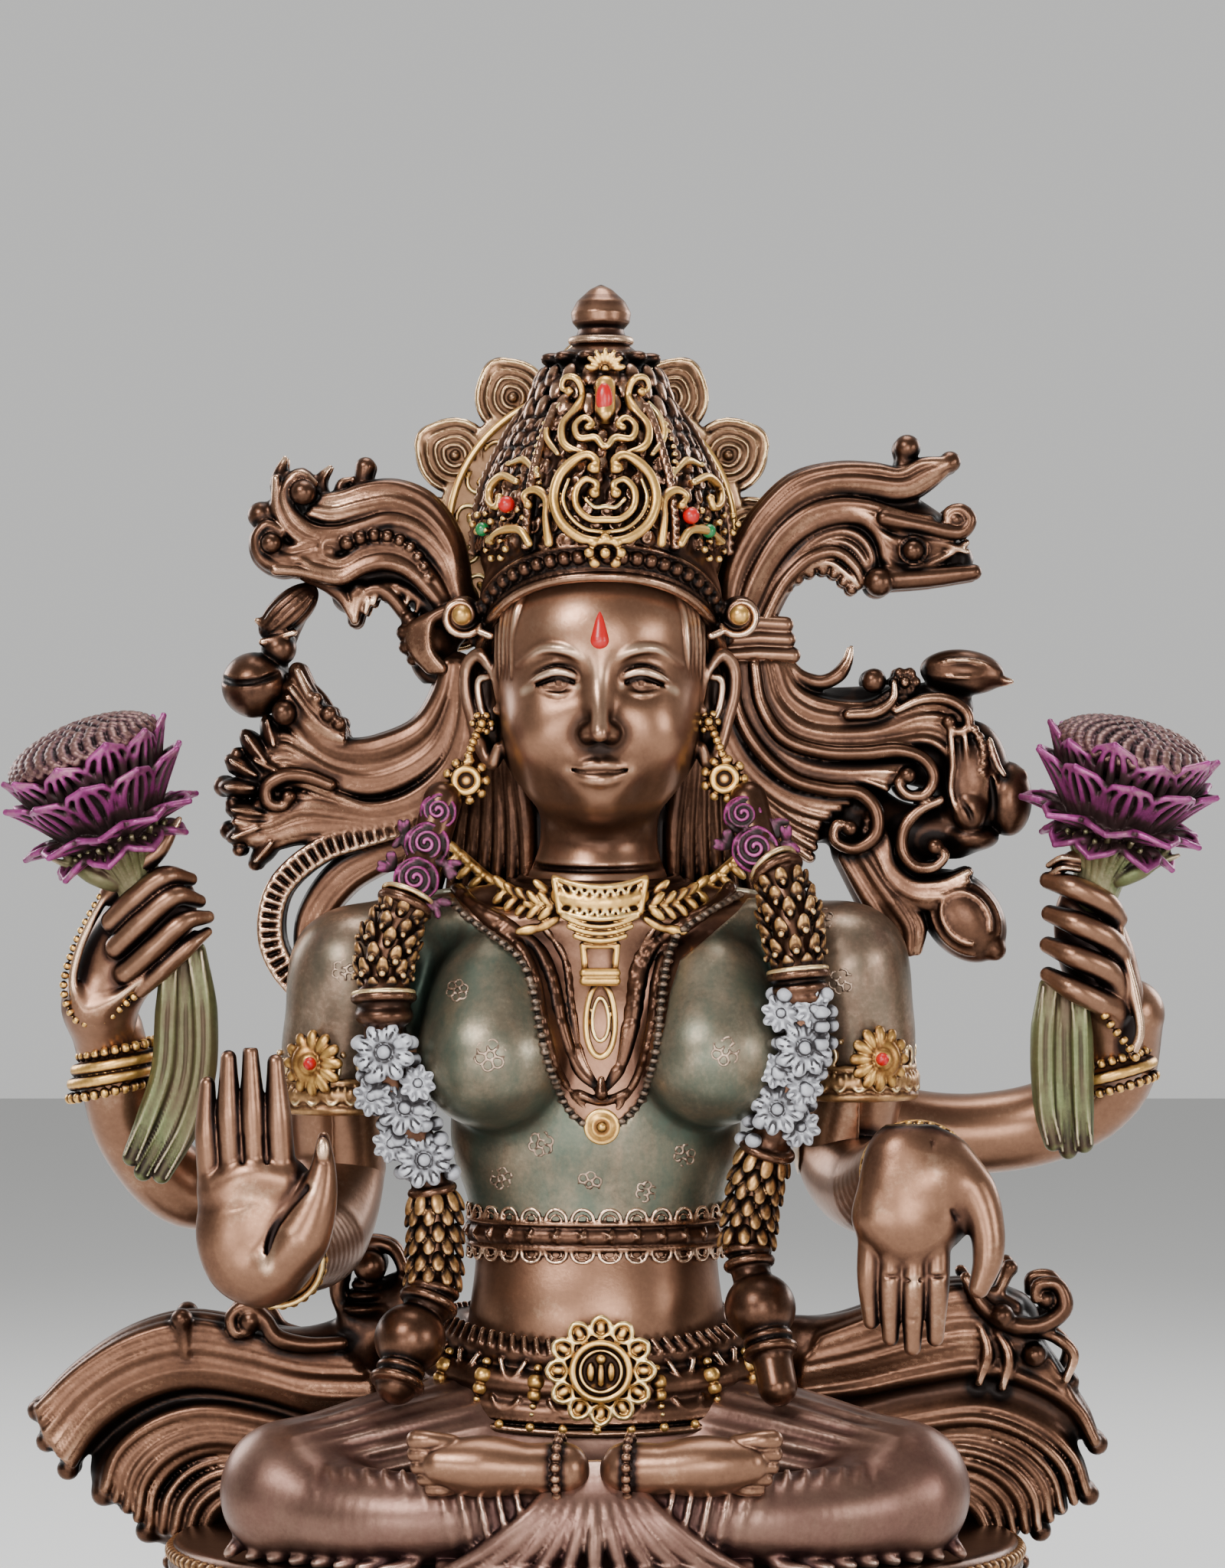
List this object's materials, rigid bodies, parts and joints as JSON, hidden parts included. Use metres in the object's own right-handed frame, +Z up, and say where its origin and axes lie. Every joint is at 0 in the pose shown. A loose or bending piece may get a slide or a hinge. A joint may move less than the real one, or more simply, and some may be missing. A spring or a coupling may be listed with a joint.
{
  "type": "seated four-armed goddess statue",
  "caption": "Seated four-armed goddess statue in antique bronze finish, holding lotuses, with crown, halo and flowing hair, on an oval lotus base.",
  "frame": {"origin": "centre of the felt pad's underside, on the surface that the statue stands on", "axes": "+Z up, -Y the way the figure faces, +X to the viewer's right"},
  "size_m": [0.2727, 0.158, 0.3833],
  "materials": {
    "bronze": "antique bronze, dark in the hollows and burnished bright on the raised edges",
    "gold": "dry-brushed antique gold paint over dark bronze",
    "patina": "thin grey-green patina wash over bronze",
    "lotus_magenta": "matte purple paint dry-brushed over bronze",
    "leaf_green": "matte green paint dry-brushed over bronze",
    "flower_paint": "silver-white, purple and gold paint dry-brushed over bronze",
    "red_gem": "glossy red enamel",
    "green_gem": "glossy green enamel",
    "steel": "plain steel rod",
    "felt": "glued felt"
  },
  "bodies": {
    "root": {"felt_pad": "felt", "base_plinth": "bronze", "pedestal_core": "bronze", "petals_lower": "bronze", "petals_upper": "bronze", "seat": "bronze", "throne_scroll_left": "bronze", "throne_scroll_right": "bronze", "torso": "patina", "legs_skirt": "bronze", "foot_left": "bronze", "foot_right": "bronze", "belt": "gold", "belt_buckle": "gold", "blouse_band": "patina", "blouse_gem": "gold", "necklace_collar": "gold", "necklace_pendant": "gold", "neck_dowel": "steel", "arm_dowel_left": "steel", "arm_dowel_right": "steel", "head": "bronze", "crown": "bronze", "crown_band": "bronze", "crown_ornament": "gold", "crown_finial": "bronze", "halo": "bronze", "halo_ring": "gold", "earring_left": "gold", "earring_right": "gold", "plume_left": "bronze", "plume_right": "bronze", "hair_left": "bronze", "hair_right": "bronze", "hair_back": "bronze", "hair_tie": "bronze", "bud_chain": "bronze", "front_arm_left": "bronze", "front_hand_left": "bronze", "front_bracelet_left": "gold", "armband_left": "gold", "rear_arm_left": "bronze", "rear_hand_left": "bronze", "rear_bracelet_left": "gold", "lotus_flower_left": "lotus_magenta", "lotus_stem_left": "leaf_green", "garland_left": "flower_paint", "front_arm_right": "bronze", "front_hand_right": "bronze", "front_bracelet_right": "gold", "armband_right": "gold", "rear_arm_right": "bronze", "rear_hand_right": "bronze", "rear_bracelet_right": "gold", "lotus_flower_right": "lotus_magenta", "lotus_stem_right": "leaf_green", "garland_right": "flower_paint"}
  },
  "joints": []
}
